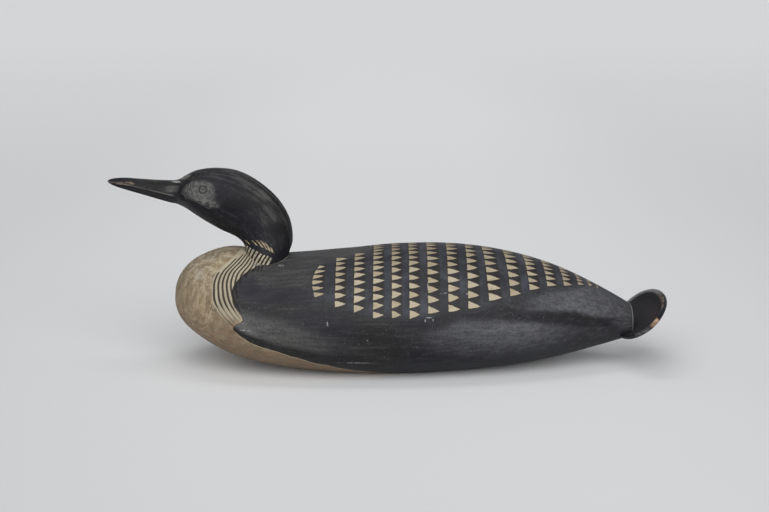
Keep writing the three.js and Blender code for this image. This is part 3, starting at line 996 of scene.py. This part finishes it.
brushed = place.stretched(60.0, 260.0, 260.0).noise(1.0, 3.0).rise(0.48, 0.72)
check_tone = coats(
    chance.over((0.38, 0.335, 0.245), (0.31, 0.26, 0.18)),
    (z_of.rise(0.125, 0.150) * 0.6, (0.25, 0.215, 0.145)),
    (x_of.rise(0.13, 0.25) * 0.6, (0.21, 0.175, 0.14)),
    (brushed * 0.55, (0.25, 0.18, 0.11)),
)
ground_depth = paint.value("ground")
ground = ground_depth.rise(-0.5, 0.8) * (ground_depth.rise(1.0, 13.0) * 0.7 + 0.3)
ground_tone = place.noise(36.0, 4.0, 0.6).rise(0.42, 0.66).over((0.050, 0.053, 0.067), (0.021, 0.022, 0.028))
brown = ground * inside * along_check.rise(0.68, 0.58)
body_colour = coats(
    black_body,
    (sheen_and_wear, sheen_and_wear_tone),
    (paint.value("shade_line") * 0.6, deepest_black),
    (ground * 0.8, ground_tone),
    (brown * 0.65, (0.015, 0.0115, 0.008)),
    (check, check_tone),
)

# Cream paint of the breast: mottled, brushed up and down, greyer above and redder below, flecked dark
cream_mottle = place.noise(26.0, 4.0, 0.6)
strokes = place.stretched(150.0, 150.0, 40.0).noise(1.0, 4.0, 0.65)
level_strokes = place.stretched(38.0, 230.0, 230.0).noise(1.0, 4.0, 0.7)
blotches = place.noise(95.0, 3.0, 0.6).rise(0.46, 0.64)
reddened = place.stretched(1.0, 1.0, 2.0).noise(60.0, 4.0, 0.65).rise(0.46, 0.6) * z_of.rise(0.11, 0.06)
under_neck = place.spot((-216, -45, 137), (24, 28, 20)) * strokes.rise(0.35, 0.6)
neck_foot = place.spot((-203, -18, 146), (16, 18, 9)) * level_strokes.rise(0.4, 0.6)
pale_front = place.spot((-251, -46, 124), (9, 16, 8)) * cream_mottle.rise(0.4, 0.55)
flecks = place.stretched(1.0, 1.0, 0.5).noise(330.0, 3.0)
many_flecks = flecks.rise(0.5, 0.62) * place.spot((-229, -80, 97), (13, 24, 28))
edge_noise = (place.noise(120.0, 3.0) - 0.5) * 3.0
cream_depth = paint.value("cream") + edge_noise
behind_neck = x_of.rise(-0.200, -0.180)
pale_edge = cream_depth.band(0.0, 0.5, 1.4, 2.6) * behind_neck
breast = coats(
    cream_mottle.rise(0.38, 0.62).over((0.31, 0.25, 0.167), (0.195, 0.158, 0.106)),
    (z_of.rise(0.100, 0.145) * 0.7, (0.40, 0.355, 0.265)),
    (z_of.rise(0.080, 0.020) * 0.85, (0.17, 0.128, 0.086)),
    (strokes.rise(0.44, 0.60) * z_of.rise(0.05, 0.08) * 0.8, (0.15, 0.112, 0.07)),
    (level_strokes.rise(0.45, 0.58) * z_of.rise(0.11, 0.06) * 0.8, (0.135, 0.095, 0.06)),
    (blotches * 0.5, (0.19, 0.14, 0.085)),
    (reddened * 0.45, (0.20, 0.115, 0.075)),
    (under_neck * 0.45, (0.25, 0.18, 0.09)),
    (neck_foot * 0.8, (0.16, 0.10, 0.05)),
    (pale_front * 0.3, (0.42, 0.40, 0.34)),
    (flecks.rise(0.61, 0.69) * 0.6 + many_flecks * 0.6, (0.07, 0.058, 0.042)),
    (paint.value("necklace") * (0.55 + cream_mottle.rise(0.4, 0.6) * 0.35), ridge_paint),
    (pale_edge * 0.5, ridge_paint),
)
dark_edge = cream_depth.band(-2.2, -1.2, -0.5, 0.0)
shoulder_shade = place.spot((-152, -92, 108), (60, 34, 16)) + place.spot((-192, -66, 112), (24, 30, 16))
cream_mask = cream_depth.rise(-0.4, 0.4)
cut_paint = paint.value("cut").rise(0.27, 0.62)
seam_line = paint.value("seam").rise(1.4, 0.5) * place.noise(180.0, 3.0).rise(0.36, 0.52)
seam_smear = place.spot((-178, -37, 134), (20, 6, 1.6)) + place.spot((-152, -38, 133.5), (8, 5, 1.6))
seam_smear = seam_smear * place.noise(330.0, 3.0).rise(0.43, 0.53)

# Nicks and scratches on the left side: middle and reach
nick_places = [
    ((-191, -96, 66), (10, 16, 0.9)),
    ((28, -88, 118), (1.1, 16, 4.5)),
    ((46.6, -87, 110), (5.0, 16, 0.8)),
    ((24.5, -100, 80), (1.0, 16, 2.4)),
    ((29, -100, 83.4), (4.6, 16, 0.8)),
    ((34, -100, 80.6), (1.0, 16, 2.0)),
    ((75, -84, 109), (2.2, 16, 1.8)),
    ((-92, -107, 77), (1.0, 16, 3.4)),
    ((-85, -107, 92), (0.9, 16, 1.8)),
    ((-44, -108, 57), (1.5, 16, 1.3)),
    ((-60, -96, 25.5), (30, 16, 0.7)),
]
nick_paint = place.noise(240.0, 3.0).rise(0.36, 0.5) * 0.6
nicks = [(place.spot(middle, reach) * nick_paint, (0.33, 0.33, 0.33)) for middle, reach in nick_places]
body_colour = coats(
    body_colour,
    (dark_edge * 0.6, deepest_black),
    (shoulder_shade * 0.55, (0.011, 0.011, 0.018)),
    (cream_mask, breast),
    (cut_paint * 0.93, (0.015, 0.012, 0.008)),
    (seam_line * 0.8, (0.33, 0.29, 0.23)),
    (seam_smear, (0.19, 0.18, 0.16)),
    *nicks,
    # A light line along the edge of the body's end next to the tail: worn paint with a painted highlight on
    # that edge
    (paint.value("step").rise(2.0, 0.5) * 0.75, (0.20, 0.195, 0.19)),
)

# The tail's dish: a hollow made darker by soot and by painted shade, with a painted bluish sheen; painted
# light on the far lip and specks of it on the near lip; bare wood where the near lip is chipped
dish = paint.value("dish")
# The hollow is darker: soot, and painted shade in the recess
hollow = dish.rise(5.0, 10.0)
lip = dish.band(-1.0, 0.2, 4.5, 8.0)
scratched = place.noise(150.0, 3.0).rise(0.45, 0.55)
# A painted bluish sheen in the hollow
blue_sheen = place.spot((300, 0, 58), (26, 70, 26)) * grainy
brown_stain = place.spot((310, -18, 68), (14, 40, 12)) * scratched
# Painted light on the far lip, which faces up, and painted specks of light on the near lip
lit_far_lip = lip * y_of.rise(-0.01, 0.02)
near_lip_light = lip * place.spot((289, -66, 57), (14, 16, 12))
rear_lip = place.spot((320, -28, 86), (9, 42, 12))
rear_stain = rear_lip * dish.band(2.6, 3.6, 7.0, 9.0)
rear_line = rear_lip * dish.band(1.2, 1.8, 2.2, 3.0)
chip = place.spot((303, -62, 69), (10, 26, 9)) * dish.band(-1.0, -0.2, 9.0, 12.0)
chip = chip * (0.6 + place.noise(120.0, 3.0).rise(0.4, 0.55) * 0.4)
body_colour = coats(
    body_colour,
    (hollow * 0.85, (0.023, 0.023, 0.025)),
    (blue_sheen * 0.2, (0.05, 0.05, 0.075)),
    (brown_stain * 0.25, (0.08, 0.04, 0.03)),
    (lit_far_lip * (0.4 + grainy * 0.5), (0.26, 0.26, 0.26)),
    (near_lip_light * grainy * 0.8, (0.13, 0.13, 0.13)),
    (rear_stain * 0.8, (0.10, 0.055, 0.035)),
    (rear_line * scratched, (0.3, 0.27, 0.23)),
    (chip.rise(0.1, 0.5), (0.12, 0.065, 0.045)),
    (chip.rise(0.5, 0.8), bare_wood),
)
body_rough = 0.45 + cream_mask * 0.15 + body_streaks * 0.12 + hollow * 0.35
finish_paint(paint, body_shader, body_colour, body_rough, body_streaks + strokes * 0.5, 0.0003)
body_mesh.materials.clear()
body_mesh.materials.append(body_paint)
body_mesh.shade_smooth()
body_mesh.set_sharp_from_angle(angle=math.radians(35))
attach(body_block, "root")
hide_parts("body_and_tail")

# Floor and light
# A pale studio floor that runs out of sight all round. Its colour is a little darker near the camera and to
# the sides, a painted fall-off of the light.
# The sky is dim above, pale all round and bright in front. One soft light hangs overhead and one stands
# in front of the tail end.
floor_reach = 60.0
floor_corners = np.array([[-1, -1, 0], [1, -1, 0], [1, 1, 0], [-1, 1, 0]]) * floor_reach
floor_mesh = bpy.data.meshes.new("floor")
floor_mesh.from_pydata(floor_corners.tolist(), [], [(0, 1, 2, 3)])
floor = new_object("floor", floor_mesh)
floor_paint, paint, floor_shader = new_paint("floor_paint", 0.0)
place = paint.node("TexCoord", output="Object")
off_side = place.along(0).math("ABSOLUTE")
away = place.along(1)
# Painted fall-off of the light: the floor's colour darkens towards the camera and to the sides
floor_colour = away.rise(-0.5, 2.8).over((0.865, 0.871, 0.879), (0.71, 0.716, 0.724))
is_side = off_side.rise(0.15, 0.8) * away.rise(6.0, 1.5) * 0.12
floor_colour = is_side.over((0.2, 0.2, 0.2), floor_colour)
paint.tree.links.new(floor_colour.socket, floor_shader.inputs["Base Color"])
floor_shader.inputs["Roughness"].default_value = 1.0
floor_mesh.materials.append(floor_paint)

sky = bpy.data.worlds.new("sky")
sky.use_nodes = True
heaven = Signal(sky.node_tree)
direction = heaven.node("TexCoord", output="Generated")
key_way = (0.0, -0.84, 0.54)
towards_key = direction.node("VectorMath", {0: direction, 1: key_way}, output=1, operation="DOT_PRODUCT")
plain_sky = direction.along(2).rise(0.2, 0.95).over((0.12, 0.122, 0.127), (0.4, 0.403, 0.41))
sky_colour = towards_key.rise(0.66, 0.97).over((3.25, 3.25, 3.25), plain_sky)
sky.node_tree.links.new(sky_colour.socket, sky.node_tree.nodes["Background"].inputs["Color"])
bpy.context.scene.world = sky


def soft_light(name, place, aim, width, height, power):
    """A rectangular area light at a place, turned to an aim."""
    lamp = bpy.data.lights.new(name, "AREA")
    lamp.shape = "RECTANGLE"
    lamp.size = width
    lamp.size_y = height
    lamp.energy = power
    holder = new_object(name, lamp)
    holder.location = place
    holder.rotation_euler = (Vector(aim) - Vector(place)).to_track_quat("-Z", "Y").to_euler()


soft_light("overhead", (-0.1, 0.1, 1.5), aim=(-0.1, 0, 0.1), width=1.0, height=0.4, power=3.5)
soft_light("tail_end", (1.0, -1.3, 0.6), aim=(0.25, 0, 0.05), width=0.5, height=0.5, power=2.2)
